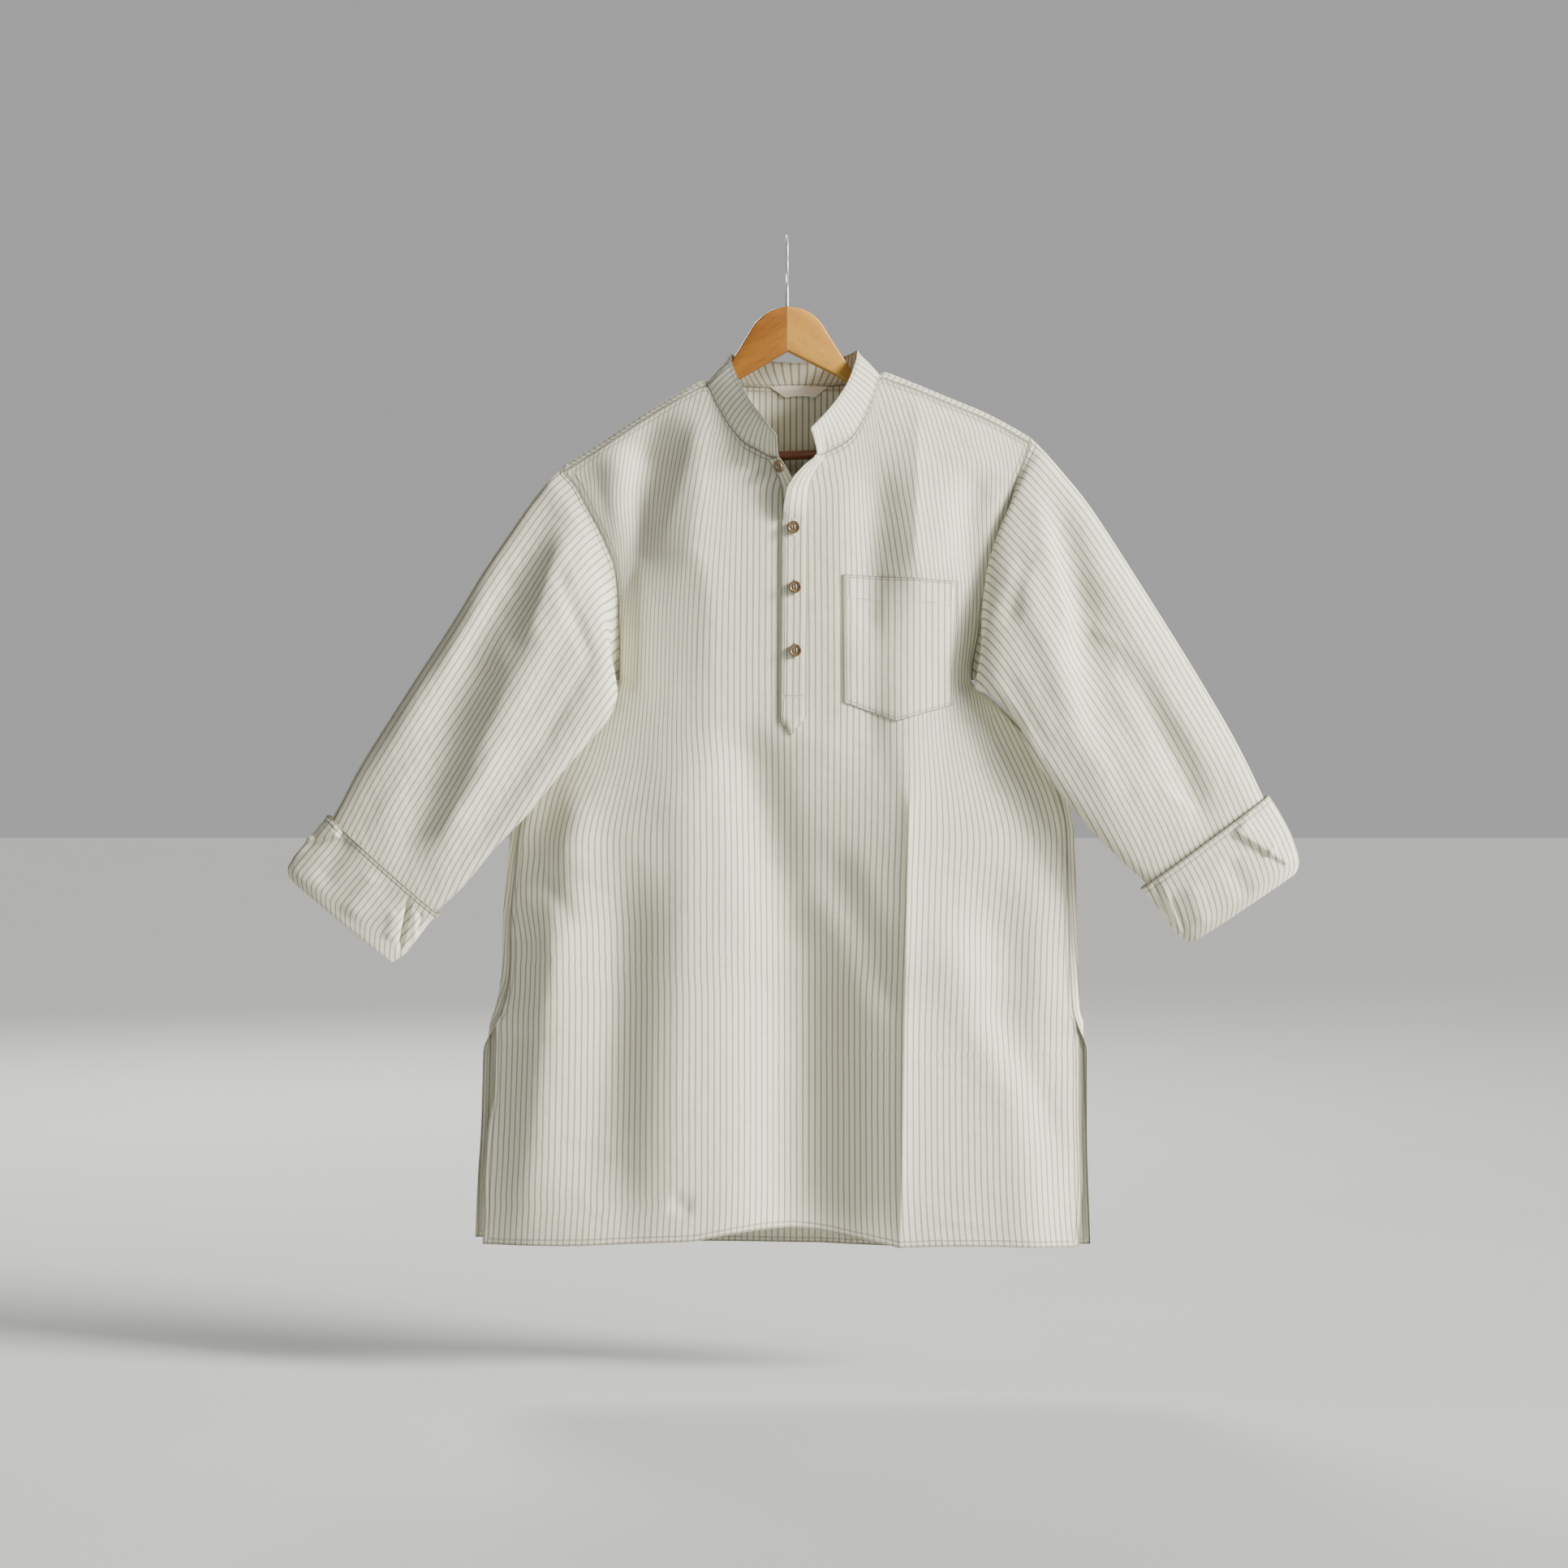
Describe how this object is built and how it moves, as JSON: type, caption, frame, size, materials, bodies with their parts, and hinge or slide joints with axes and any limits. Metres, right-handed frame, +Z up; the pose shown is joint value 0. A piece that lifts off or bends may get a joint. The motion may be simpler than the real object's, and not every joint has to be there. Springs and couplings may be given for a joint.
{
  "type": "long-sleeved kurta tunic on a wooden hanger",
  "caption": "Long cotton kurta tunic with collar band, half placket, chest pocket, turned-up sleeves and side slits, hanging on a wooden hanger.",
  "frame": {"origin": "inside the top of the hanger's hook, where a rail or peg carries it", "axes": "+X to the right as the garment is seen from the front, which is also how left and right name its pieces, -Y out of the front, +Z up"},
  "size_m": [1.0199, 0.1035, 1.0334],
  "materials": {
    "striped_cotton": "off-white plain weave with narrow grey-olive stripes",
    "satin": "bare cream satin",
    "horn": "mottled tan brown, half matte",
    "pale_wood": "oiled, half matte",
    "red_wood": "stained reddish brown, half matte",
    "steel": "dull wire"
  },
  "bodies": {
    "root": {"front_panel": "striped_cotton", "back_panel": "striped_cotton", "collar_band": "striped_cotton", "left_sleeve": "striped_cotton", "right_sleeve": "striped_cotton", "left_cuff": "striped_cotton", "right_cuff": "striped_cotton", "upper_placket": "striped_cotton", "under_strip": "striped_cotton", "chest_pocket": "striped_cotton", "neck_label": "satin", "button_1": "horn", "button_2": "horn", "button_3": "horn", "button_4": "horn", "hanger_left_arm": "pale_wood", "hanger_right_arm": "pale_wood", "trouser_bar": "red_wood", "hanger_hook": "steel"}
  },
  "joints": []
}
